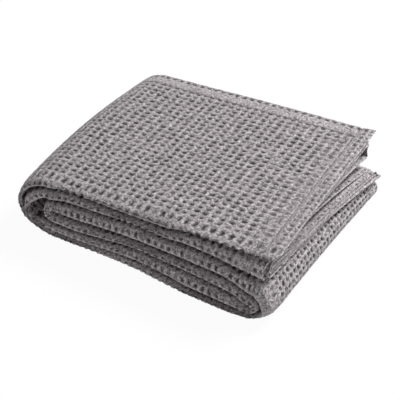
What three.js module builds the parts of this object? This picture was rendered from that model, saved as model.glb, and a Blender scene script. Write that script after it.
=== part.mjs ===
// A waffle-weave throw blanket, folded into a flat stack.
//
// The cloth is folded across its width into a strip six plies thick. The strip is
// then folded along its length into six passes that lie on each other: its two ends
// are the two upper passes, which together make a flap that turns over to the left.
//
// Millimetres. +X runs to the hemmed ends, +Y to the back, +Z up. The origin is the
// middle of the stack's footprint, on the surface that the blanket lies on.

import * as THREE from "three";

// Driving dimensions
const PASS_THICKNESS = 13;              // six plies of cloth
const GAP = 0.3;                        // between one pass and the next
const PASS_COUNT = 6;
const STACK_WIDTH = 275;                // along X, over both folded ends
const STACK_DEPTH = 212;                // along Y
const OUTER_PANEL_OVERHANG = 130;       // X of the upper pass's hemmed end
const INNER_PANEL_OVERHANG = 128;       // X of the second pass's hemmed end
const HEM_WIDTH = 9;                    // turned hem, along X
const THREAD_RADIUS = 0.4;
const FOLD_STEP_DEGREES = 10;           // facet size around a fold
const EDGE_SEGMENTS = 8;                // facets around a pass's rounded front or back edge

// Values that follow from them
const PASS_PITCH = PASS_THICKNESS + GAP;
const STACK_HEIGHT = PASS_COUNT * PASS_PITCH - GAP;
const HEM_SEAM = 2 * THREAD_RADIUS + 2 * GAP;                // groove that holds the thread
const LEFT_FOLD_CENTRE_Z = STACK_HEIGHT / 2;
const LEFT_FOLD_X = -STACK_WIDTH / 2 + STACK_HEIGHT / 2;     // where the left folds begin
const RIGHT_FOLD_HEIGHT = 4 * PASS_PITCH - GAP;              // the right folds hold four passes
const RIGHT_FOLD_CENTRE_Z = RIGHT_FOLD_HEIGHT / 2;
const RIGHT_FOLD_X = STACK_WIDTH / 2 - RIGHT_FOLD_HEIGHT / 2;

const clothMaterial = new THREE.MeshStandardMaterial({
  color: 0x8d898b,
  roughness: 0.95,
  metalness: 0,
});
const hemMaterial = new THREE.MeshStandardMaterial({
  color: 0x949092,
  roughness: 0.92,
  metalness: 0,
});
const threadMaterial = new THREE.MeshStandardMaterial({
  color: 0xa5a1a3,
  roughness: 0.7,
  metalness: 0,
});

const throwBlanket = new THREE.Group();
throwBlanket.name = "folded_throw_blanket";

// A curve in the XZ plane whose frames keep the section's width along Y.
class LevelCurve extends THREE.Curve {
  computeFrenetFrames(steps) {
    const frames = { tangents: [], normals: [], binormals: [] };
    for (let step = 0; step <= steps; step++) {
      const tangent = this.getTangentAt(step / steps);
      const widthDirection = new THREE.Vector3(0, 1, 0);
      frames.tangents.push(tangent);
      frames.normals.push(widthDirection);
      frames.binormals.push(new THREE.Vector3().crossVectors(tangent, widthDirection));
    }
    return frames;
  }
}

class StraightRun extends LevelCurve {
  constructor(startX, endX, z) {
    super();
    this.start = new THREE.Vector3(startX, 0, z);
    this.end = new THREE.Vector3(endX, 0, z);
  }

  getPoint(t, target = new THREE.Vector3()) {
    return target.lerpVectors(this.start, this.end, t);
  }

  getTangent(t, target = new THREE.Vector3()) {
    return target.subVectors(this.end, this.start).normalize();
  }
}

// Angles run from straight down (0) to straight up (180), around the side given.
class FoldArc extends LevelCurve {
  constructor(centreX, centreZ, radius, startAngle, endAngle, side) {
    super();
    this.centre = new THREE.Vector3(centreX, 0, centreZ);
    this.radius = radius;
    this.startAngle = startAngle;
    this.endAngle = endAngle;
    this.side = side;
  }

  angleAt(t) {
    return THREE.MathUtils.degToRad(THREE.MathUtils.lerp(this.startAngle, this.endAngle, t));
  }

  getPoint(t, target = new THREE.Vector3()) {
    const angle = this.angleAt(t);
    target.set(this.side * Math.sin(angle), 0, -Math.cos(angle));
    return target.multiplyScalar(this.radius).add(this.centre);
  }

  getTangent(t, target = new THREE.Vector3()) {
    const angle = this.angleAt(t);
    return target.set(this.side * Math.cos(angle), 0, Math.sin(angle));
  }
}

// One pass seen end on: as wide as the stack is deep, with rounded front and back.
function passSection() {
  const edgeRadius = PASS_THICKNESS / 2;
  const straightHalf = STACK_DEPTH / 2 - edgeRadius;
  const section = new THREE.Shape();
  section.moveTo(-straightHalf, -edgeRadius);
  section.lineTo(straightHalf, -edgeRadius);
  section.absarc(straightHalf, 0, edgeRadius, -Math.PI / 2, Math.PI / 2);
  section.lineTo(-straightHalf, edgeRadius);
  section.absarc(-straightHalf, 0, edgeRadius, Math.PI / 2, (3 * Math.PI) / 2);
  return section;
}

function addPart(name, geometry, material) {
  const mesh = new THREE.Mesh(geometry, material);
  mesh.name = name;
  throwBlanket.add(mesh);
  return mesh;
}

function addPass(name, curve, steps, material) {
  const geometry = new THREE.ExtrudeGeometry(passSection(), {
    steps,
    extrudePath: curve,
    curveSegments: EDGE_SEGMENTS,
    bevelEnabled: false,
  });
  return addPart(name, geometry, material);
}

// Height of the middle of a pass, counted from 0 at the bottom.
function passCentreZ(pass) {
  return pass * PASS_PITCH + PASS_THICKNESS / 2;
}

function addPanel(name, pass, startX, endX) {
  addPass(name, new StraightRun(startX + GAP / 2, endX - GAP / 2, passCentreZ(pass)), 1, clothMaterial);
}

// A stretch of the fold that turns around centreZ and joins the pass given to its mirror image above.
function addFold(name, pass, side, startAngle, endAngle) {
  const centreX = side < 0 ? LEFT_FOLD_X : RIGHT_FOLD_X;
  const centreZ = side < 0 ? LEFT_FOLD_CENTRE_Z : RIGHT_FOLD_CENTRE_Z;
  const radius = centreZ - passCentreZ(pass);
  const outerRadius = radius + PASS_THICKNESS / 2;
  const halfGapAngle = THREE.MathUtils.radToDeg(GAP / 2 / outerRadius);
  const arc = new FoldArc(centreX, centreZ, radius, startAngle + halfGapAngle, endAngle - halfGapAngle, side);
  addPass(name, arc, Math.round((endAngle - startAngle) / FOLD_STEP_DEGREES), clothMaterial);
}

// The left folds that open with the flap, in four stretches with a hinge line between each two.
function addOpeningFold(prefix, pass) {
  const stretches = [["foot", 0, 30], ["lower", 30, 90], ["upper", 90, 150], ["head", 150, 180]];
  for (const [stretch, startAngle, endAngle] of stretches) {
    addFold(`${prefix}_${stretch}`, pass, -1, startAngle, endAngle);
  }
}

// An end of the strip: the panel, the sewing thread along the hem, and the turned hem itself.
function addHemmedPanel(prefix, pass, endX) {
  const hemStartX = endX - HEM_WIDTH;
  const panelEndX = hemStartX - HEM_SEAM;
  addPanel(`${prefix}_panel`, pass, LEFT_FOLD_X, panelEndX);
  const hemRun = new StraightRun(hemStartX, endX, passCentreZ(pass));
  addPass(`${prefix}_hem`, hemRun, 1, hemMaterial);
  const threadLength = STACK_DEPTH - PASS_THICKNESS;
  const threadGeometry = new THREE.CylinderGeometry(THREAD_RADIUS, THREAD_RADIUS, threadLength, 8);
  const thread = addPart(`${prefix}_hem_thread`, threadGeometry, threadMaterial);
  thread.position.set(
    (panelEndX + hemStartX) / 2,
    0,
    passCentreZ(pass) + PASS_THICKNESS / 2 - THREAD_RADIUS,
  );
}

// Lower four passes, from the bottom up
addPanel("base_outer_panel", 0, LEFT_FOLD_X, RIGHT_FOLD_X);
addPanel("base_inner_panel", 1, LEFT_FOLD_X, RIGHT_FOLD_X);
addPanel("tucked_lower_panel", 2, LEFT_FOLD_X, RIGHT_FOLD_X);
addPanel("tucked_upper_panel", 3, LEFT_FOLD_X, RIGHT_FOLD_X);

// Folds that stay shut while the flap opens
addFold("right_outer_fold", 0, 1, 0, 180);
addFold("right_inner_fold", 1, 1, 0, 180);
addFold("left_inner_fold", 2, -1, 0, 180);

// Folds that unroll as the flap opens
addOpeningFold("left_outer_fold", 0);
addOpeningFold("left_middle_fold", 1);

// Upper two passes: the flap
addHemmedPanel("flap_inner", 4, INNER_PANEL_OVERHANG);
addHemmedPanel("flap_outer", 5, OUTER_PANEL_OVERHANG);

export default throwBlanket;
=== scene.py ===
import math

import bpy
import numpy as np
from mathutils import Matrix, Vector


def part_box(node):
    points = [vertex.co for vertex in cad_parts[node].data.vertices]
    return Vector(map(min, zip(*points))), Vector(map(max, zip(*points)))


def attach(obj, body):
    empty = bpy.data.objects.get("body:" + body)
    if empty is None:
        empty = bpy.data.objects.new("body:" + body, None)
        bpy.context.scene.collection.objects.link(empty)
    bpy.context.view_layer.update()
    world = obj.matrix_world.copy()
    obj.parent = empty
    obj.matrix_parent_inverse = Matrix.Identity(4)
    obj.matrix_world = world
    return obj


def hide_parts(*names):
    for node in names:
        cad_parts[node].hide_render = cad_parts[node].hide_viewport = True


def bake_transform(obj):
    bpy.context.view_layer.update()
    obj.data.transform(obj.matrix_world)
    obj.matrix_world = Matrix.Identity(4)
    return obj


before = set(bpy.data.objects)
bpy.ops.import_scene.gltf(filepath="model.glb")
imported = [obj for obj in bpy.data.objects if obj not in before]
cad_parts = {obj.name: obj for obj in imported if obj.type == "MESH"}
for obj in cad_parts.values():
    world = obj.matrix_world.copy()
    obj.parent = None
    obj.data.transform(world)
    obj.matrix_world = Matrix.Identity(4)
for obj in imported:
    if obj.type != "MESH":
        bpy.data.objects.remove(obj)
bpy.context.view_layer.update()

# A waffle-weave throw, folded across its width into a strip six plies thick, and then
# along its length into six passes that lie on each other. The whole cloth is one grid:
# its columns count waffle cells along the strip, its rows count them across the cloth.
# Lengths are in millimetres until a mesh is made.

MM = 0.001


# ---------------------------------------------------------------- sizes from the frame

def box_mm(node):
    low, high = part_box(node)
    return np.array(low) / MM, np.array(high) / MM


base_low, base_high = box_mm("base_outer_panel")
THICK = base_high[2] - base_low[2]
FRONT = base_low[1]
BACK = base_high[1]
LEFT_X = base_low[0]
RIGHT_X = base_high[0]
LEFT_TIP = box_mm("left_outer_fold_lower")[0][0]
RIGHT_TIP = box_mm("right_outer_fold")[1][0]
OUTER_END = box_mm("flap_outer_hem")[1][0]
INNER_END = box_mm("flap_inner_hem")[1][0]

PLY = THICK / 6         # a pass holds six plies
ROW_PITCH = 6.85        # from one row of cells to the next
LINES_PER_CELL = 6      # grid lines

# ---------------------------------------------------------------- settled shape

# Height of the surfaces between the passes, from the floor (0) to the top (6), as the
# pile has settled: columns are the places along X in STATIONS.
STATIONS = (LEFT_X, -77, -41, -6, 27, 48, 82, 96, RIGHT_X, 130)
HEIGHTS = (
    (0, 0, 0, 0, 0, 0, 0, 0, 0, 0),
    (7, 7.5, 11, 13.5, 10.5, 7, 6, 5, 4, 4),
    (20.5, 20.5, 24.5, 29, 27.5, 26, 22.5, 20.5, 14, 14),
    (34, 34, 36.5, 38.5, 38.5, 38, 37, 34, 27.5, 24),
    (47, 52, 54.5, 57.5, 55.5, 56.5, 54.5, 52, 50, 47),
    (61, 66.5, 66.5, 66, 67, 72.5, 75, 75.5, 76.5, 79),
    (74, 75, 76.7, 78.4, 80, 81, 82.7, 83.3, 84, 86.5),
)


def through(x, xs, ys):
    """A smooth curve through the points given, without overshoot at their turns."""
    xs = np.asarray(xs, float)
    ys = np.asarray(ys, float)
    x = np.clip(x, xs[0], xs[-1])
    step = np.diff(xs)
    slope = np.diff(ys) / step
    tangent = np.zeros(len(xs))
    same_way = slope[:-1] * slope[1:] > 0
    tangent[1:-1][same_way] = 2 / (1 / slope[:-1][same_way] + 1 / slope[1:][same_way])
    tangent[0] = slope[0]
    tangent[-1] = slope[-1]
    i = np.clip(np.searchsorted(xs, x, side="right") - 1, 0, len(step) - 1)
    t = (x - xs[i]) / step[i]
    return (
        ys[i] * (1 + 2 * t) * (1 - t) ** 2
        + tangent[i] * step[i] * t * (1 - t) ** 2
        + ys[i + 1] * t * t * (3 - 2 * t)
        + tangent[i + 1] * step[i] * t * t * (t - 1)
    )


def height(surface, x):
    return through(x, STATIONS, HEIGHTS[surface])


def ease(t):
    t = np.clip(t, 0, 1)
    return t * t * (3 - 2 * t)


# Heights of the middles that the turned ends go round.
LEFT_Z = 37.0
RIGHT_Z = 25.0
LEFT_INNER_Z = HEIGHTS[3][0]
RIGHT_INNER_Z = HEIGHTS[2][8]

# Radii of the surfaces of the turned ends, by the angle from straight up.
LEFT_OUTER_RADII = (
    (0, 20, 45, 70, 90, 110, 135, 160, 180),
    (HEIGHTS[6][0] - LEFT_Z, 37, 37.5, 39, LEFT_X - LEFT_TIP, 39.5, 38.5, 37.3, LEFT_Z),
)
LEFT_MIDDLE_RADII = (
    (0, 30, 60, 75, 90, 110, 135, 160, 180),
    (HEIGHTS[5][0] - LEFT_Z, 24.5, 28, 31.5, 34.3, 34, 31, 30, LEFT_Z - HEIGHTS[1][0]),
)
LEFT_HOLLOW_RADII = (
    (0, 45, 80, 108, 125, 150, 180),
    (HEIGHTS[4][0] - LEFT_Z, 12, 17, 28.5, 26, 19.5, LEFT_Z - HEIGHTS[2][0]),
)
LEFT_INNER_RADII = (
    (0, 90, 180),
    (HEIGHTS[4][0] - LEFT_INNER_Z, 12.5, LEFT_INNER_Z - HEIGHTS[2][0]),
)
RIGHT_OUTER_RADII = (
    (0, 45, 90, 135, 180),
    (HEIGHTS[4][8] - RIGHT_Z, 24.5, RIGHT_TIP - RIGHT_X, 26, RIGHT_Z),
)
RIGHT_MIDDLE_RADII = (
    (0, 60, 90, 119, 136, 160, 180),
    (HEIGHTS[3][8] - RIGHT_Z, 4, 7, 11, 15.9, 18.5, RIGHT_Z - HEIGHTS[1][8]),
)
RIGHT_INNER_RADII = (
    (0, 90, 180),
    (HEIGHTS[3][8] - RIGHT_INNER_Z, 10.5, RIGHT_INNER_Z - HEIGHTS[1][8]),
)
NO_RADII = ((0, 180), (0, 0))


class Pass:
    """A straight length of the strip, between the surfaces number `level` and the next.

    outer_side is 1 where the strip's top ply lies uppermost, and -1 where it lies below.
    """

    def __init__(self, level, start_x, end_x, cells, outer_side):
        self.level = level
        self.start_x = start_x
        self.end_x = end_x
        self.cells = cells
        self.outer_side = outer_side

    def stations(self, share):
        x = self.start_x + (self.end_x - self.start_x) * share
        low = height(self.level, x)
        high = height(self.level + 1, x)
        centre = np.stack([x, (low + high) / 2], -1)
        normal = np.stack([0 * x, 0 * x + self.outer_side], -1)
        return centre, normal, high - low


class Fold:
    """A turned end of the strip; angles run from straight up, round by the side given.

    outer_side is 1 where the strip's top ply lies outside the turn, and -1 where inside.
    """

    def __init__(self, side, centre, inner, outer, start, end, cells, outer_side):
        self.side = side
        self.centre = centre
        self.inner = inner
        self.outer = outer
        self.start = start
        self.end = end
        self.cells = cells
        self.outer_side = outer_side

    def stations(self, share):
        angle = self.start + (self.end - self.start) * share
        inner = through(angle, *self.inner)
        outer = through(angle, *self.outer)
        turn = np.radians(angle)
        direction = np.stack([self.side * np.sin(turn), np.cos(turn)], -1)
        centre = np.array(self.centre) + direction * ((inner + outer) / 2)[:, None]
        return centre, direction * self.outer_side, outer - inner


LEFT_CENTRE = (LEFT_X, LEFT_Z)
RIGHT_CENTRE = (RIGHT_X, RIGHT_Z)
RUNS = {
    "outer_flap": Pass(5, OUTER_END, LEFT_X, 28, 1),
    "outer_fold": Fold(-1, LEFT_CENTRE, LEFT_MIDDLE_RADII, LEFT_OUTER_RADII, 0, 180, 15, 1),
    "base_outer": Pass(0, LEFT_X, RIGHT_X, 30, -1),
    "right_outer": Fold(1, RIGHT_CENTRE, RIGHT_MIDDLE_RADII, RIGHT_OUTER_RADII, 180, 0, 12, 1),
    "tucked_upper": Pass(3, RIGHT_X, LEFT_X, 30, 1),
    "left_inner": Fold(-1, (LEFT_X, LEFT_INNER_Z), NO_RADII, LEFT_INNER_RADII, 0, 180, 6, 1),
    "tucked_lower": Pass(2, LEFT_X, RIGHT_X, 30, -1),
    "right_inner": Fold(1, (RIGHT_X, RIGHT_INNER_Z), NO_RADII, RIGHT_INNER_RADII, 0, 180, 5, -1),
    "base_inner": Pass(1, RIGHT_X, LEFT_X, 30, 1),
    "middle_fold": Fold(-1, LEFT_CENTRE, LEFT_HOLLOW_RADII, LEFT_MIDDLE_RADII, 180, 0, 9, -1),
    "inner_flap": Pass(4, LEFT_X, INNER_END, 31, -1),
}

# ---------------------------------------------------------------- the strip's section

# The cloth's way across the strip starts at the back with the top ply, turns at the front into
# the under ply, and then runs to and fro through the four plies between these two.
FRONT_REACH = 1.6       # depth of a front fold, in that of a half circle
FRONT_CENTRE = FRONT + (2.5 * FRONT_REACH + 0.5) * PLY
BACK_CENTRE = BACK - 2 * PLY
INNER_SELVEDGE = 1.5    # how far the selvedge inside lies short of the one outside


def flat_ply(w, start, end):
    """A ply from one place across the stack to another."""
    return "flat", abs(end - start), w, start, end


def fold_part(y, w, radius, reach, way):
    """A half ellipse from +radius to -radius (way 1) or back (way -1), out to reach * radius."""
    length = math.pi * radius * math.sqrt((1 + reach ** 2) / 2)
    return "fold", length, y, w, radius, reach, way


def front_fold(y, w, radius, way):
    return fold_part(y, w, radius, -FRONT_REACH, way)


def back_fold(w, radius, way):
    return fold_part(BACK_CENTRE, w, radius, 1, way)


def section_parts():
    """The cloth's way across the strip: flat plies, and the folds that join them."""
    return (
        flat_ply(2.5 * PLY, BACK, FRONT_CENTRE),
        front_fold(FRONT_CENTRE, 0, 2.5 * PLY, 1),
        flat_ply(-2.5 * PLY, FRONT_CENTRE, BACK_CENTRE),
        back_fold(-PLY, 1.5 * PLY, -1),
        flat_ply(0.5 * PLY, BACK_CENTRE, FRONT_CENTRE + PLY),
        front_fold(FRONT_CENTRE + PLY, 0, 0.5 * PLY, 1),
        flat_ply(-0.5 * PLY, FRONT_CENTRE + PLY, BACK_CENTRE),
        back_fold(-PLY, 0.5 * PLY, 1),
        flat_ply(-1.5 * PLY, BACK_CENTRE, FRONT_CENTRE),
        front_fold(FRONT_CENTRE, 0, 1.5 * PLY, -1),
        flat_ply(1.5 * PLY, FRONT_CENTRE, BACK - INNER_SELVEDGE),
    )


PARTS = section_parts()
LENGTHS = np.array([part[1] for part in PARTS])
ROW_ENDS = np.concatenate([[0], np.cumsum(LENGTHS)]) / ROW_PITCH


def section(row):
    """(y, w): place across the stack, and distance from the pass's middle surface."""
    y = np.zeros(row.shape)
    w = np.zeros(row.shape)
    for number, part in enumerate(PARTS):
        start, end = ROW_ENDS[number], ROW_ENDS[number + 1]
        here = (row >= start - 1e-9) & (row <= end + 1e-9)
        t = (row[here] - start) / (end - start)
        if part[0] == "flat":
            y[here] = part[3] + (part[4] - part[3]) * t
            w[here] = part[2]
        else:
            centre_y, centre_w, radius, reach, way = part[2:]
            y[here] = centre_y + reach * radius * np.sin(math.pi * t)
            w[here] = centre_w + way * radius * np.cos(math.pi * t)
    return y, w


# Rows at which the top ply ends, and at which the under ply starts and ends.
TOP_END = ROW_ENDS[1]
UNDER_START = ROW_ENDS[2]
UNDER_END = ROW_ENDS[3]
LAST_ROW = ROW_ENDS[-1]

# Rows that lie where nobody sees them: of the top ply, of the under ply, of the ply that
# shows only inside the open mouth, and of the rest of the plies inside.
SEEN_ROWS = 3           # rows that can be seen beside an edge
SEEN_AT_BACK = 2        # the same beside the under ply's fold at the back
HIDDEN_TOP = (SEEN_ROWS, TOP_END - SEEN_ROWS)
HIDDEN_UNDER = (UNDER_START + SEEN_ROWS, UNDER_END - SEEN_AT_BACK)
HIDDEN_IN_MOUTH = (ROW_ENDS[8], ROW_ENDS[9])
ALWAYS_HIDDEN = ((ROW_ENDS[4], ROW_ENDS[8]), (ROW_ENDS[9], LAST_ROW - SEEN_ROWS))

# What a piece hides besides: one whose top ply is in view, and one with only its edges in view.
HIDDEN_BELOW_TOP = (HIDDEN_UNDER, HIDDEN_IN_MOUTH)
HIDDEN_BUT_EDGES = (HIDDEN_TOP, HIDDEN_UNDER, HIDDEN_IN_MOUTH)

FADE = 0.5              # rows over which the relief fades where it stops being seen
HIDDEN_STEP = 3 * LINES_PER_CELL  # of the hidden grid lines, one in so many is kept
PLY_LINES = 9           # grid lines on a ply and on a fold inside the strip
FOLD_LINES = 8


def row_lines():
    """Rows of the grid lines: close together, except on the plies inside the strip."""
    fine = np.arange(0, ROW_ENDS[4], 1 / LINES_PER_CELL)
    lines = [fine, ROW_ENDS[1:5]]
    for number in (4, 6):
        start, end = ROW_ENDS[number], ROW_ENDS[number + 1]
        lines.append(np.linspace(start, end, PLY_LINES)[1:])
        lines.append(np.linspace(end, ROW_ENDS[number + 2], FOLD_LINES)[1:])
    edge = LAST_ROW - SEEN_ROWS
    lines.append(np.arange(ROW_ENDS[8], ROW_ENDS[9], 1 / LINES_PER_CELL))
    lines.append(np.linspace(ROW_ENDS[9], ROW_ENDS[10], FOLD_LINES))
    lines.append(np.linspace(ROW_ENDS[10], edge, FOLD_LINES)[1:])
    lines.append(np.linspace(edge, LAST_ROW, SEEN_ROWS * LINES_PER_CELL + 1)[1:])
    return np.unique(np.round(np.concatenate(lines), 4))


def kept_lines(rows, hidden):
    """Which grid lines a piece needs: only a few of those on its hidden rows."""
    keep = np.ones(len(rows), bool)
    for start, end in hidden:
        inside = np.nonzero((rows > start) & (rows < end))[0]
        keep[inside] = False
        keep[inside[::HIDDEN_STEP]] = True
    return keep


def seen_share(rows, hidden):
    """1 on the rows that can be seen, falling to 0 on those that are hidden."""
    share = np.ones(len(rows))
    for start, end in hidden + ALWAYS_HIDDEN:
        share *= 1 - ease((rows - start + FADE) / FADE) * (1 - ease((rows - end) / FADE))
    return share


# ---------------------------------------------------------------- the surface

CLOSE_UP = 2.0          # least distance from a face of a pass to the plies inside it
SLIT = 0.8              # between the faces of one pass and the next
PINCH = 0.2             # share of its thickness that a pass loses at its front edge
PINCH_DEPTH = 22.0
THINNEST = 0.8          # least half thickness, and least share for the plies inside
LEAST_SHARE = 0.04


def ply_places(w, thickness):
    """Where each ply lies in a pass of the thickness given."""
    half = np.maximum((thickness - SLIT) / 2 - PLY / 2, THINNEST)[:, None]
    share = np.maximum((half - CLOSE_UP) / (2.5 * PLY - CLOSE_UP), LEAST_SHARE)
    inner = 1.5 * PLY * share
    size = np.abs(w)
    beyond = (size - 1.5 * PLY) / PLY
    place = np.where(size <= 1.5 * PLY, size * share, inner + beyond * (half - inner))
    return np.sign(w) * place


# The second pass from the top stands open at the right like a mouth: its front fold is taller
# there, and takes up more of the cloth's rows. The strip lies upside down in this pass, so its
# uppermost ply is the strip's under ply. That one sinks onto the others towards the back.
MOUTH_DEPTH = 200.0
MOUTH_LIP = 8.0         # how far back the sinking starts
INNER_SETBACK = 4.0     # how far the fold inside the mouth lies behind the outer one
INNER_LIFT = 0.45       # share of the opening that the inner plies rise at the front
INNER_LIFT_DEPTH = 60.0


def mouth_rows(rows, opening):
    """The row of the section that each row of the cloth takes where the mouth is open."""
    extra = opening / 2 / ROW_PITCH
    return np.stack([
        np.interp(rows, (0, TOP_END - e, UNDER_START + e, UNDER_END, LAST_ROW),
                  (0, TOP_END, UNDER_START, UNDER_END, LAST_ROW))
        for e in extra
    ])


def mouth_side(row):
    """-1 on the uppermost ply, 1 on the others, and between on the folds that join them."""
    front_turn = np.clip((row - TOP_END) / (UNDER_START - TOP_END), 0, 1)
    back_turn = np.clip((row - UNDER_END) / (ROW_ENDS[4] - UNDER_END), 0, 1)
    return 1 + np.cos(math.pi * front_turn) - np.cos(math.pi * back_turn)


def open_mouth(row, y, w, place, opening):
    """Moves the plies of the second pass apart, by the opening at each column."""
    side = mouth_side(row)
    sunk = np.clip((y - FRONT - MOUTH_LIP) / MOUTH_DEPTH, 0, 1) ** 1.5
    opening = opening[:, None]
    on_lower_plies = side > 0.999
    spread_up = on_lower_plies * np.clip(0.5 - w / (3 * PLY), 0, 1)
    lift = INNER_LIFT * spread_up * (1 - ease((y - FRONT) / INNER_LIFT_DEPTH))
    place = place + opening * (side / 2 + (1 - side) / 2 * sunk - lift)
    inside = (row > ROW_ENDS[8]) * ease((BACK - y) / (BACK - FRONT))
    return y + INNER_SETBACK * inside * ease(opening / THICK), place


# How far the plies of each hemmed end reach past its place in the frame, at the front and
# at the back: first for the top ply, and then for the others.
HEM_SKEW = {"outer_flap": ((8.0, 1.5), (5.0, -4.0)), "inner_flap": ((-6.0, 10.0), (-2.0, 6.5))}
SKEW_START = 40.0       # place along X
LIP_SKEW = (1.5, 0.0)   # how far the mouth's uppermost ply reaches, at the front and the back
LIP_SETBACK = 3.0       # how far the mouth's front edge ends short of its plies
STAGGER = 0.8           # how unevenly the plies end
STAGGER_TURN = 2.1      # radians per millimetre from ply to ply


def skew_hem_end(name, row, x, y, w):
    """X of the plies, moved so that the hemmed end lies as unevenly as it was folded."""
    end_x = OUTER_END if name == "outer_flap" else INNER_END
    back = (y - FRONT) / (BACK - FRONT)
    outer = ease((w - 1.5 * PLY) / PLY)
    (outer_front, outer_back), (other_front, other_back) = HEM_SKEW[name]
    stagger = STAGGER * np.sin(STAGGER_TURN * w)
    other = other_front + (other_back - other_front) * back + stagger
    shift = outer * (outer_front + (outer_back - outer_front) * back) + (1 - outer) * other
    if name == "inner_flap":
        side = mouth_side(row)
        lip = LIP_SKEW[0] + (LIP_SKEW[1] - LIP_SKEW[0]) * back
        shift = shift + (1 - side) / 2 * (lip - shift) - LIP_SETBACK * (1 - side ** 2)
    return x + shift * ease((x - SKEW_START) / (end_x - SKEW_START))


def drift(x, y):
    """Soft unevenness of the whole pile, from 0 to about 1."""
    return 0.5 + 0.25 * (
        np.sin(x / 31 + 0.6) * np.cos(y / 43 + 0.3) + np.sin(x / 57 - y / 38 + 2.1)
    )


# How far the foot of the pile lies behind its front, by the place along X.
FOOT_SETBACK = ((-125, -90, -41, -6, 27, 82, 111, 130), (3.0, 4.5, 4.5, 3.0, 0.0, -1.0, 2.0, 7.0))
FOOT_HEIGHT = 24.0

# How far the back right corner has sunk, by the height; the top ply has stayed up.
CORNER_SINK = ((0, 14, 25, 47, 78), (0, 3.0, 7.0, 14.5, 29.0))
CORNER_START = 40.0     # place along X
CORNER_LENGTH = 85.0

# How far the same corner has spread to the right: below a height, and more at the foot.
SPREAD = 3.5
SPREAD_FROM = 52.0      # height at which the spread starts to fade
SPREAD_FADE = 16.0
FOOT_SPREAD = 4.0
FOOT_SPREAD_FADE = 22.0

# The left end stands out and up in the middle of its depth.
LEFT_START = -40.0      # place along X
LEFT_LENGTH = 90.0
BULGE = 5.5
CROWN = 2.5

LEAN_AT_MIDDLE = 3.6    # how much lower the top lies at the back than at the front
LEAN_PER_X = 0.02       # how much less so with each millimetre to the right
DRIFT = 1.2             # unevenness of the top, and the part of it that rises
DRIFT_RISE = 0.6


def settle(points):
    """The pile leans back on the left, bulges at its left end and spreads at its right."""
    x, y, z = points[..., 0], points[..., 1], points[..., 2]
    rise = z / HEIGHTS[6][0]
    back = np.clip((y - FRONT) / (BACK - FRONT), 0, 1)
    crown = np.sin(math.pi * back)
    left = ease((LEFT_START - x) / LEFT_LENGTH)
    lean = back * (LEAN_PER_X * x - LEAN_AT_MIDDLE) + CROWN * crown * left
    corner = back ** 2 * ease((x - CORNER_START) / CORNER_LENGTH)
    spread = SPREAD * (1 - ease((z - SPREAD_FROM) / SPREAD_FADE))
    spread = corner * (spread + FOOT_SPREAD * (1 - ease(z / FOOT_SPREAD_FADE)))
    tucked = through(x, *FOOT_SETBACK) * (1 - back) * (1 - ease(z / FOOT_HEIGHT))
    top_share = np.clip((z - height(5, x)) / (height(6, x) - height(5, x) - PLY), 0, 1)
    sink = corner * through(z, *CORNER_SINK) * (1 - top_share ** 3)
    z = z + rise * (lean - DRIFT * drift(x, y) + DRIFT_RISE) - sink
    return np.stack([x - BULGE * crown * left + spread, y + tucked, z], -1)


def run_points(name, run, share, rows):
    """The settled grid points of one run, at the shares of its length given."""
    centre, normal, thickness = run.stations(share)
    row = np.broadcast_to(rows, (len(share), len(rows)))
    opening = np.zeros(len(share))
    if name == "inner_flap":
        opening = np.maximum(thickness - THICK, 0)
        row = mouth_rows(rows, opening)
    y, w = section(row)
    place = ply_places(w, thickness - opening)
    place = place * (1 - PINCH * ease((FRONT + PINCH_DEPTH - y) / PINCH_DEPTH))
    if name == "inner_flap":
        y, place = open_mouth(row, y, w, place, opening)
    x = centre[:, None, 0] + normal[:, None, 0] * place
    z = centre[:, None, 1] + normal[:, None, 1] * place
    if name in HEM_SKEW:
        x = skew_hem_end(name, row, x, y, w)
    return settle(np.stack([x, y, z], -1))


def build_strip():
    """The cloth's grid points, its columns and rows, and each run's first and last line."""
    rows = row_lines()
    points, columns, spans = [], [], {}
    column = 0.0
    line = 0
    for name, run in RUNS.items():
        count = run.cells * LINES_PER_CELL
        share = np.linspace(0, 1, count + 1)
        if points:
            share = share[1:]
        points.append(run_points(name, run, share, rows))
        columns.append(column + share * run.cells)
        spans[name] = (line, line + count)
        column += run.cells
        line += count
    return np.concatenate(points), np.concatenate(columns), rows, spans


def surface_normals(points):
    along = np.gradient(points, axis=0)
    across = np.gradient(points, axis=1)
    normal = np.cross(along, across)
    return normal / np.maximum(np.linalg.norm(normal, axis=-1, keepdims=True), 1e-9)


# ---------------------------------------------------------------- waffle relief

RIDGE = 0.7             # height of the ridges, and depth of the cells
PIT = 1.3
FUZZ = 0.13             # unevenness of the yarn
RAGGED = 0.10           # unevenness of the cells' rims
INSIDE_RELIEF = 0.3     # share of the relief on the plies that lie inside the strip
EDGE_CELLS = 0.5        # smooth rolled edge of a hem, in cells from the end of the strip
SEAM_CELLS = 1.5        # where a hem's seam runs
SOFT_CELLS = 5.0        # the weave is flatter from here to the hem
BAND_START = 0.6        # the smooth band beside a selvedge, in rows from it
BAND_END = 2.3
SEAM_HALF = 0.25        # half width of the seam's groove, in cells
SEAM_DEPTH = 0.9        # in depths of a cell
BAND_SEAM_HALF = 0.22   # the same for the line that ends the smooth band
BAND_SEAM_DEPTH = 0.7

CELL_WIDE = 0.44        # half width of a cell's pit, in cells
CELL_TALL = 0.39
CELL_SPREAD = 0.05      # how much these differ from cell to cell
FRONT_NARROWER = 0.08   # on the front of a pass
CELL_DEEP = 0.87        # share of the full depth
DEEP_SPREAD = 0.4
TURNED_FLATTER = 0.5    # share of the depth that the front of the right end has lost
HEM_CELL = 0.36         # half width of a cell on a hem
HEM_DEEP = 0.75
SWAY = 0.04             # how far the lines of cells wander, in cells

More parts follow.
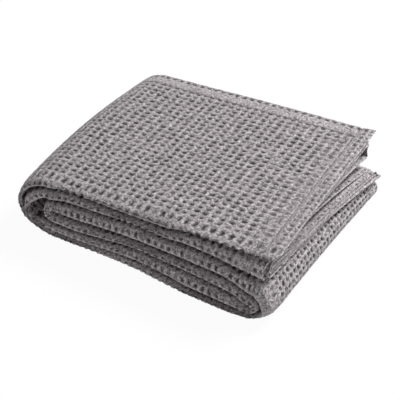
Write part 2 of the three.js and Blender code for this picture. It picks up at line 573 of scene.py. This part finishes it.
random = np.random.default_rng(7)
NOISE_SIZE = 400
CELL_NOISE = random.random((NOISE_SIZE, NOISE_SIZE))


def cell_random(column, row, salt):
    """A random share for the cell that holds the place given, and another for each salt."""
    i = np.floor(column).astype(int) + 17 * salt
    j = np.floor(row).astype(int) + 31 * salt
    return CELL_NOISE[i % NOISE_SIZE, j % NOISE_SIZE]


def cell_distance(u, v, wide, tall):
    """0 in the middle of a cell and about 1 at the rim of its pit."""
    du = np.abs(u - np.floor(u) - 0.5) / wide
    dv = np.abs(v - np.floor(v) - 0.5) / tall
    return (du ** 3 + dv ** 3) ** (1 / 3)


def hollow(distance, start, width):
    """1 up to the distance `start`, easing to 0 over the width given."""
    return 1 - ease((distance - start) / width)


# The front of a pass shows one tall cell, so the rows of cells are wider apart there.
WHOLE_ROWS = round(TOP_END - 1)
FRONT_CELLS = (
    (-1, 0, TOP_END - 1, UNDER_START + 1, LAST_ROW + 1),
    (-1, 0, WHOLE_ROWS, WHOLE_ROWS + 3, WHOLE_ROWS + 3 + LAST_ROW - UNDER_START),
)


def inside_run(column, name):
    """1 on the columns of a run, easing to 0 over the cells at its two ends."""
    start = 0
    for run_name, run in RUNS.items():
        if run_name == name:
            return ease((column - start) / 2) * ease((start + run.cells - column) / 2)
        start += run.cells


def weave_cells(column, row):
    """The waffle's cells: their places, and the depth of their pits and of their yarn loops."""
    turned = inside_run(column, "right_outer")
    sway = SWAY * np.sin(row * 0.9 + 2 * np.sin(column * 0.23))
    lean = SWAY * np.sin(column * 0.7 + 1.5 * np.sin(row * 0.31))
    u, v = column + sway, row + lean
    on_front = ease(v - TOP_END + 1) * (1 - ease(v - UNDER_START))
    v = np.interp(v, *FRONT_CELLS)
    wide = CELL_WIDE - FRONT_NARROWER * on_front + CELL_SPREAD * (cell_random(u, v, 1) - 0.5)
    tall = CELL_TALL + CELL_SPREAD * (cell_random(u, v, 2) - 0.5)
    ragged = random.normal(0, RAGGED, u.shape) * (1 + on_front)
    distance = cell_distance(u, v, wide, tall) + ragged
    deep = CELL_DEEP + DEEP_SPREAD * (cell_random(u, v, 3) - 0.5)
    deep = deep * (1 - TURNED_FLATTER * on_front * turned)
    loops = 0.7 * (1 - ease(np.abs(distance - 0.75) / 0.45))
    return u, v, deep, deep * hollow(distance, 0.3, 0.8), loops


def flatten_near_hem(pits, loops, from_end):
    """Pits made flatter near a hem, with more of the yarn loops, and 1 off the hems, 0 on them."""
    soft = 1 - ease((from_end - SEAM_CELLS - 0.3) / (SOFT_CELLS - SEAM_CELLS))
    in_cloth = ease((from_end - SEAM_CELLS) / 0.2)
    return pits + soft * in_cloth * (0.5 * pits + 0.4 * loops - pits), in_cloth


def add_selvedge(pits, u, from_selvedge):
    """A row of small cells along the selvedge, and a smooth band that ends in a seam."""
    banded = ease((from_selvedge - BAND_START) / 0.15) * hollow(from_selvedge, BAND_END, 0.15)
    pits = pits * (1 - banded)
    band_seam = BAND_SEAM_DEPTH * (1 - ease(np.abs(from_selvedge - BAND_END) / BAND_SEAM_HALF))
    pits = np.maximum(pits, band_seam)
    at_edge = hollow(from_selvedge, BAND_START, 0.1)
    edge_cells = cell_distance(u + 0.5, from_selvedge / BAND_START, 0.36, 0.42)
    return pits * (1 - at_edge) + at_edge * hollow(edge_cells, 0.3, 0.9)


def add_hem(pits, v, deep, from_end, in_cloth):
    """The cells of a hem's own turned cloth, and the groove of its seam."""
    along_hem = np.where(from_end < EDGE_CELLS, from_end / EDGE_CELLS, from_end - EDGE_CELLS)
    hem_cells = cell_distance(along_hem, v, HEM_CELL, HEM_CELL)
    hem_pits = HEM_DEEP * deep * hollow(hem_cells, 0.35, 0.9)
    groove = SEAM_DEPTH * (1 - ease(np.abs(from_end - SEAM_CELLS - 0.17) / SEAM_HALF))
    return np.maximum(pits * in_cloth + hem_pits * (1 - in_cloth), groove)


def pit_depth(columns, rows):
    """0 on the ridges of the weave and 1 at the bottom of a cell."""
    column, row = np.meshgrid(columns, rows, indexing="ij")
    from_end = np.minimum(column, columns[-1] - column)
    from_selvedge = np.minimum(row, LAST_ROW - row)
    u, v, deep, pits, loops = weave_cells(column, row)
    pits, in_cloth = flatten_near_hem(pits, loops, from_end)
    pits = add_selvedge(pits, u, from_selvedge)
    return add_hem(pits, v, deep, from_end, in_cloth)


class Cloth:
    """The whole cloth as one grid, before it is cut into pieces."""

    def __init__(self):
        points, self.columns, self.rows, self.spans = build_strip()
        self.points = points
        self.normals = surface_normals(points)
        self.pits = pit_depth(self.columns, self.rows)
        fuzz = random.normal(0, FUZZ, self.pits.shape)
        inside = self.rows > ROW_ENDS[4]
        height_share = 1 - (1 - INSIDE_RELIEF) * inside
        self.relief = (RIDGE - (RIDGE + PIT) * self.pits + fuzz) * height_share

    def part(self, first, last, hidden):
        """Points, normals, pits and rows between two grid columns, with the relief raised."""
        keep = kept_lines(self.rows, hidden)
        rows = self.rows[keep]
        seen = seen_share(rows, hidden)[None, :]
        span = slice(first, last + 1)
        pits = self.pits[span][:, keep] * seen
        relief = self.relief[span][:, keep] * seen
        normals = self.normals[span][:, keep]
        points = self.points[span][:, keep] + normals * relief[..., None]
        return points, normals, pits, rows


# ---------------------------------------------------------------- meshes

RIM_RADIUS = 0.9
RIM_ANGLES = np.radians((45, 90, 135, 180))
THIN_RIM = 0.2          # share of the rim's radius where a hem is squeezed inside the strip


def rim(edge, neighbour, normal):
    """Lines that turn the cloth's edge outward and under, which gives the edge its thickness."""
    radius = RIM_RADIUS
    outward = edge - neighbour
    outward = outward - (outward * normal).sum(-1, keepdims=True) * normal
    outward = outward / np.maximum(np.linalg.norm(outward, axis=-1, keepdims=True), 1e-9)
    return [
        edge + outward * radius * math.sin(angle) - normal * radius * (1 - math.cos(angle))
        for angle in RIM_ANGLES
    ]


def with_selvedges(points, normals, pits):
    """Adds the rolled selvedges at both ends of the rows."""
    start = rim(points[:, 0], points[:, 1], normals[:, 0])
    end = rim(points[:, -1], points[:, -2], normals[:, -1])
    points = np.stack(start[::-1] + list(points.transpose(1, 0, 2)) + end, 1)
    count = len(RIM_ANGLES)
    return points, np.pad(pits, ((0, 0), (count, count)), mode="edge")


def make_object(name, points, faces, material):
    """A smooth mesh from points in millimetres, and from one or more blocks of equal faces."""
    mesh = bpy.data.meshes.new(name)
    points = points.reshape(-1, 3) * MM
    mesh.vertices.add(len(points))
    mesh.vertices.foreach_set("co", points.astype(np.float32).ravel())
    sides = np.concatenate([np.full(len(block), block.shape[1]) for block in faces])
    corners = np.concatenate([block.ravel() for block in faces]).astype(np.int32)
    mesh.loops.add(len(corners))
    mesh.loops.foreach_set("vertex_index", corners)
    mesh.polygons.add(len(sides))
    starts = np.concatenate([[0], np.cumsum(sides)[:-1]]).astype(np.int32)
    mesh.polygons.foreach_set("loop_start", starts)
    mesh.update(calc_edges=True)
    mesh.validate()
    mesh.polygons.foreach_set("use_smooth", np.ones(len(mesh.polygons), bool))
    mesh.materials.append(material)
    piece = bpy.data.objects.new(name, mesh)
    bpy.context.scene.collection.objects.link(piece)
    return piece


def keep_weave(piece, pits, points):
    """Keeps the depth of the weave, which the cloth's material turns into darker pits (darker yarn
    and painted shade), and the folded place.
    """
    pit = piece.data.attributes.new("pit", "FLOAT", "POINT")
    pit.data.foreach_set("value", pits.astype(np.float32).ravel())
    place = piece.data.attributes.new("folded_place", "FLOAT_VECTOR", "POINT")
    place.data.foreach_set("vector", points.astype(np.float32).ravel())


def grid_faces(n_u, n_v, ring=False):
    """The faces of a grid of points; as a ring, the last line joins the first."""
    index = np.arange(n_u * n_v).reshape(n_u, n_v)
    if ring:
        index = np.concatenate([index, index[:1]])
    quads = np.stack([index[:-1, :-1], index[1:, :-1], index[1:, 1:], index[:-1, 1:]], -1)
    return quads.reshape(-1, 4)


# ---------------------------------------------------------------- materials

def linear(*srgb):
    """A shader's colour from one in 8-bit sRGB."""
    return tuple(((c / 255 + 0.055) / 1.055) ** 2.4 for c in srgb) + (1.0,)


class Nodes:
    """Short names for making and joining shader nodes."""

    def __init__(self, name):
        self.material = bpy.data.materials.new(name)
        self.material.use_nodes = True
        self.tree = self.material.node_tree
        self.shader = self.tree.nodes["Principled BSDF"]

    def add(self, kind, values=None, **settings):
        node = self.tree.nodes.new(kind)
        for key, value in settings.items():
            setattr(node, key, value)
        for key, value in (values or {}).items():
            if isinstance(value, bpy.types.NodeSocket):
                self.tree.links.new(value, node.inputs[key])
            else:
                node.inputs[key].default_value = value
        return node

    def set(self, socket, value):
        if isinstance(value, bpy.types.NodeSocket):
            self.tree.links.new(value, self.shader.inputs[socket])
        else:
            self.shader.inputs[socket].default_value = value

    def attribute(self, name, output):
        return self.add("ShaderNodeAttribute", attribute_name=name).outputs[output]

    def noise(self, vector, scale, detail=2.0, roughness=0.5):
        values = {"Vector": vector, "Scale": scale, "Detail": detail, "Roughness": roughness}
        return self.add("ShaderNodeTexNoise", values).outputs["Fac"]

    def scaled(self, vector, scale):
        node = self.add("ShaderNodeVectorMath", {0: vector, 1: scale}, operation="MULTIPLY")
        return node.outputs["Vector"]

    def span(self, value, from_low, from_high, to_low, to_high):
        values = {"Value": value, "From Min": from_low, "From Max": from_high,
                  "To Min": to_low, "To Max": to_high}
        return self.add("ShaderNodeMapRange", values).outputs["Result"]

    def maths(self, operation, first, second):
        return self.add("ShaderNodeMath", {0: first, 1: second}, operation=operation).outputs[0]

    def blend(self, factor, first, second, mode="MIX"):
        node = self.add("ShaderNodeMix", data_type="RGBA", blend_type=mode)
        for socket, value in ((0, factor), (6, first), (7, second)):
            if isinstance(value, bpy.types.NodeSocket):
                self.tree.links.new(value, node.inputs[socket])
            else:
                node.inputs[socket].default_value = value
        return node.outputs[2]


def waffle_cloth(name, lightness):
    """Heathered cotton: pale fuzzy ridges round cells that the pit depth darkens, partly darker
    yarn and partly painted shade.
    """
    nodes = Nodes(name)
    place = nodes.attribute("folded_place", "Vector")
    pit = nodes.attribute("pit", "Fac")
    heather = nodes.noise(place, 0.3, 4.0, 0.7)
    lengthways = nodes.noise(nodes.scaled(place, (0.35, 0.9, 0.9)), 1.0, 3.0, 0.6)
    crossways = nodes.noise(nodes.scaled(place, (0.9, 0.35, 0.35)), 1.0, 3.0, 0.6)
    fibres = nodes.maths("MULTIPLY", nodes.maths("ADD", lengthways, crossways), 0.5)
    tone = nodes.span(heather, 0.35, 0.65, 0.0, 1.0)
    light = nodes.blend(tone, linear(136, 130, 132), linear(170, 164, 166))
    # The pits' colour is partly the darker yarn in them and partly painted shade of their hollows;
    # it follows the pit depth, seam grooves included.
    pit_yarn_and_shade_colour = linear(60, 56, 58)
    colour = nodes.blend(nodes.span(pit, 0.15, 0.85, 0.0, 1.0), light, pit_yarn_and_shade_colour)
    speck = nodes.span(fibres, 0.4, 0.6, 0.35 * lightness, 1.65 * lightness)
    colour = nodes.blend(1.0, colour, speck, "MULTIPLY")
    nodes.set("Base Color", colour)
    nodes.set("Roughness", 0.95)
    nodes.set("Sheen Weight", 0.15)
    nodes.set("Sheen Roughness", 0.5)
    nodes.set("Specular IOR Level", 0.1)
    rough = nodes.maths("ADD", fibres, heather)
    bump = nodes.add("ShaderNodeBump", {"Strength": 0.6, "Distance": 0.0012, "Height": rough})
    nodes.set("Normal", bump.outputs["Normal"])
    return nodes.material


def thread_material():
    nodes = Nodes("sewing_thread")
    place = nodes.add("ShaderNodeTexCoord").outputs["Object"]
    twist = nodes.noise(place, 2600.0, 2.0)
    colour = nodes.blend(twist, linear(128, 123, 125), linear(190, 184, 186))
    nodes.set("Base Color", colour)
    nodes.set("Roughness", 0.7)
    nodes.set("Sheen Weight", 0.2)
    bump = nodes.add("ShaderNodeBump", {"Strength": 0.4, "Distance": 0.0003, "Height": twist})
    nodes.set("Normal", bump.outputs["Normal"])
    return nodes.material


def floor_material():
    """A pale surface lit from within, like a light table, so that it stays white."""
    nodes = Nodes("pale_floor")
    nodes.set("Base Color", (0.05, 0.05, 0.05, 1.0))
    nodes.set("Roughness", 0.9)
    nodes.set("Specular IOR Level", 0.0)
    nodes.set("Emission Color", (1.0, 1.0, 1.0, 1.0))
    nodes.set("Emission Strength", 0.95)
    return nodes.material


# ---------------------------------------------------------------- pieces

CLOTH = waffle_cloth("waffle_cloth", 1.0)
HEM = waffle_cloth("hem_cloth", 1.05)
THREAD = thread_material()
SEAM_LINES = int(SEAM_CELLS * LINES_PER_CELL)
STITCH_PITCH = 0.5      # in rows
STITCH_HALF = 2.0       # half length
STITCH_RADIUS = 0.42
STITCH_LIFT = 0.55      # how far its middle rises
STITCH_RINGS = 5
STITCH_SIDES = 5

cloth = Cloth()


def cloth_piece(name, first, last, hidden):
    points, normals, pits, _ = cloth.part(first, last, hidden)
    points, pits = with_selvedges(points, normals, pits)
    piece = make_object(name, points, [grid_faces(*pits.shape)], CLOTH)
    keep_weave(piece, pits, points)
    return piece


def hem_piece(name, at_start, hidden):
    """The turned hem: a closed band of double cloth over the columns at one end of the strip."""
    last = len(cloth.columns) - 1
    first = 0 if at_start else last - SEAM_LINES
    points, normals, pits, rows = cloth.part(first, first + SEAM_LINES, hidden)
    if not at_start:
        points, normals, pits = points[::-1], normals[::-1], pits[::-1]
    depth = np.where(rows < UNDER_END, RIM_RADIUS, THIN_RIM * RIM_RADIUS)[None, :, None]
    inner = points - 2 * depth * normals
    turned = rim(points[0], points[1], normals[0])
    seam = (points[-1] + inner[-1]) / 2
    lines = list(points[::-1]) + turned[:-1] + list(inner) + [seam]
    plain = np.zeros((1, len(rows)))
    ring = np.stack(lines, 0)
    pits = np.concatenate([pits[::-1], plain.repeat(len(turned) - 1, 0), pits, plain])
    if at_start:
        ring, pits = ring[::-1], pits[::-1]
    count, width = ring.shape[:2]
    index = np.arange(count * width).reshape(count, width)
    sides = grid_faces(count, width, ring=True)[:, ::-1]
    faces = [sides, index[None, :, 0], index[None, ::-1, -1]]
    piece = make_object(name, ring, faces, HEM)
    keep_weave(piece, pits, ring)
    return piece


def stitch_points(centre, along, normal):
    """One stitch: a short thread that rises between the two holes it passes through."""
    side = np.cross(along, normal)
    lines = []
    for share in np.linspace(-1, 1, STITCH_RINGS):
        middle = centre + along * STITCH_HALF * share + normal * STITCH_LIFT * (1 - share ** 2)
        radius = STITCH_RADIUS * math.sqrt(1 - 0.75 * share ** 2)
        for turn in np.linspace(0, 2 * math.pi, STITCH_SIDES + 1)[:-1]:
            lines.append(middle + radius * (side * math.cos(turn) + normal * math.sin(turn)))
    return np.stack(lines, 1)


def at_rows(seen, values):
    """Vectors of one grid line, at the rows given."""
    return np.stack([np.interp(seen, cloth.rows, values[:, k]) for k in range(3)], -1)


def unit(vectors):
    return vectors / np.linalg.norm(vectors, axis=-1, keepdims=True)


def stitch_faces(count):
    """The side faces and the end caps of a number of stitches."""
    size = STITCH_RINGS * STITCH_SIDES
    first = np.arange(count)[:, None, None] * size
    ring = np.arange(size).reshape(STITCH_RINGS, STITCH_SIDES)
    caps = np.stack([ring[0], ring[-1, ::-1]])
    ring = np.concatenate([ring, ring[:, :1]], 1)
    quads = np.stack([ring[:-1, :-1], ring[:-1, 1:], ring[1:, 1:], ring[1:, :-1]], -1)
    quads = (quads.reshape(1, -1, 4) + first).reshape(-1, 4)
    return [quads, (caps[None] + first).reshape(-1, STITCH_SIDES)]


def seam_stitches(name, at_start):
    """The row of stitches along a hem, on the plies that can be seen."""
    column = SEAM_LINES + 1 if at_start else len(cloth.columns) - 2 - SEAM_LINES
    line = cloth.points[column] + cloth.normals[column] * cloth.relief[column][:, None]
    seen = np.concatenate([
        np.arange(STITCH_PITCH, UNDER_END + 1, STITCH_PITCH),
        np.arange(LAST_ROW - SEEN_ROWS, LAST_ROW, STITCH_PITCH),
    ])
    normal = unit(at_rows(seen, cloth.normals[column]))
    along = unit(at_rows(seen, np.gradient(cloth.points[column], axis=0)))
    along = unit(along - (along * normal).sum(-1, keepdims=True) * normal)
    points = stitch_points(at_rows(seen, line), along, normal)
    return make_object(name, points, stitch_faces(len(seen)), THREAD)


def declare_cloth(nodes):
    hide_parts(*nodes)


def stack_cloth(name, runs, hidden, nodes):
    first, last = cloth.spans[runs[0]][0], cloth.spans[runs[-1]][1]
    piece = cloth_piece(name, first, last, hidden)
    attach(piece, "stack")
    declare_cloth(nodes)


def flap(name, at_start, hidden):
    """A hemmed end of the strip, which turns over with its body."""
    node = "flap_outer" if at_start else "flap_inner"
    first, last = cloth.spans[name]
    edge = SEAM_LINES - 1
    start, end = (first + edge, last) if at_start else (first, last - edge)
    piece = cloth_piece(f"{name}_cloth", start, end, hidden)
    hem = hem_piece(f"{name}_hem", at_start, hidden)
    stitches = seam_stitches(f"{name}_stitches", at_start)
    for thing in (piece, hem, stitches):
        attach(thing, name)
    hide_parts(f"{node}_hem")
    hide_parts(f"{node}_hem_thread")
    declare_cloth([f"{node}_panel"])


def fold_point(run, angle):
    """A point on the fold's inner surface, in metres."""
    radius = float(through(np.array([angle]), *run.inner)[0])
    turn = math.radians(angle)
    x = run.centre[0] + run.side * radius * math.sin(turn)
    return Vector((x, 0, run.centre[1] + radius * math.cos(turn))) * MM


def opening_fold(name, zones):
    """The three stretches of a left fold, each made as a cloth piece of its own."""
    run = RUNS[name]
    first, last = cloth.spans[name]
    step = (last - first) // 3
    turn = (run.end - run.start) / 3
    for number, (zone, lower, upper, nodes) in enumerate(zones):
        start = first + number * step
        piece = cloth_piece(f"{name}_{zone}_cloth", start, start + step, HIDDEN_BELOW_TOP)
        angles = sorted((run.start + number * turn, run.start + (number + 1) * turn))
        fold_point(run, angles[1])
        fold_point(run, angles[0])
        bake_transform(piece)
        declare_cloth(nodes)


stack_cloth("stack_outer_cloth", ("base_outer", "right_outer", "tucked_upper"),
            HIDDEN_BELOW_TOP,
            ["base_outer_panel", "right_outer_fold", "tucked_upper_panel"])
stack_cloth("stack_inner_cloth", ("left_inner", "tucked_lower", "right_inner", "base_inner"),
            HIDDEN_BUT_EDGES,
            ["left_inner_fold", "tucked_lower_panel", "right_inner_fold", "base_inner_panel"])
flap("inner_flap", False, ())
flap("outer_flap", True, HIDDEN_BELOW_TOP)
opening_fold("outer_fold", (
    ("upper", "outer_fold_upper", "outer_flap",
     ["left_outer_fold_head", "left_outer_fold_upper"]),
    ("middle", "outer_fold_lower", "outer_fold_upper", ["left_outer_fold_lower"]),
    ("foot", "stack", "outer_fold_lower", ["left_outer_fold_foot"]),
))
opening_fold("middle_fold", (
    ("foot", "stack", "inner_fold_lower", ["left_middle_fold_foot"]),
    ("middle", "inner_fold_lower", "inner_fold_upper", ["left_middle_fold_lower"]),
    ("upper", "inner_fold_upper", "inner_flap",
     ["left_middle_fold_head", "left_middle_fold_upper"]),
))

# ---------------------------------------------------------------- stage

FLOOR_RADIUS = 4.0
FLOOR_Z = -0.0005
BACKDROP_HEIGHT = 0.9
FLOOR_SIDES = 64


def make_stage():
    """A round pale floor, and a low wall of the same round it as a backdrop."""
    turns = [2 * math.pi * side / FLOOR_SIDES for side in range(FLOOR_SIDES)]
    low = [(FLOOR_RADIUS * math.cos(t), FLOOR_RADIUS * math.sin(t), FLOOR_Z) for t in turns]
    high = [(x, y, BACKDROP_HEIGHT) for x, y, _ in low]
    following = [(side, (side + 1) % FLOOR_SIDES) for side in range(FLOOR_SIDES)]
    wall = [(a, a + FLOOR_SIDES, b + FLOOR_SIDES, b) for a, b in following]
    material = floor_material()
    for name, faces in (("floor", [tuple(range(FLOOR_SIDES))]), ("backdrop", wall)):
        mesh = bpy.data.meshes.new(name)
        mesh.from_pydata(low + high, [], faces)
        mesh.materials.append(material)
        thing = bpy.data.objects.new(name, mesh)
        bpy.context.scene.collection.objects.link(thing)


def direction(azimuth, elevation):
    """The way from the object to a viewer; azimuth 0 is straight in front of it."""
    a, e = math.radians(azimuth), math.radians(elevation)
    return Vector((math.sin(a) * math.cos(e), -math.cos(a) * math.cos(e), math.sin(e)))


def make_camera(azimuth, elevation, distance, target, lens):
    """A camera that looks at the target, which is in millimetres."""
    data = bpy.data.cameras.new("camera")
    data.lens = lens
    camera = bpy.data.objects.new("camera", data)
    bpy.context.scene.collection.objects.link(camera)
    back = direction(azimuth, elevation)
    camera.location = Vector(target) * MM + back * distance
    camera.rotation_euler = (-back).to_track_quat("-Z", "Y").to_euler()
    bpy.context.scene.camera = camera


def make_light(name, azimuth, elevation, distance, size, power):
    """A round soft light that shines at the middle of the object's footprint."""
    data = bpy.data.lights.new(name, "AREA")
    data.shape = "DISK"
    data.size = size
    data.energy = power
    light = bpy.data.objects.new(name, data)
    bpy.context.scene.collection.objects.link(light)
    back = direction(azimuth, elevation)
    light.location = back * distance
    light.rotation_euler = (-back).to_track_quat("-Z", "Y").to_euler()


def make_world(strength):
    """An even white light from above the backdrop."""
    world = bpy.data.worlds.new("studio")
    world.use_nodes = True
    world.node_tree.nodes["Background"].inputs["Color"].default_value = (1, 1, 1, 1)
    world.node_tree.nodes["Background"].inputs["Strength"].default_value = strength
    bpy.context.scene.world = world


make_stage()
make_camera(azimuth=30.6, elevation=38.9, distance=1.162, target=(16, -24.5, 42), lens=112)
make_light("key", azimuth=138, elevation=55, distance=1.6, size=0.7, power=33)
make_world(0.24)
bpy.context.scene.view_settings.view_transform = "Standard"
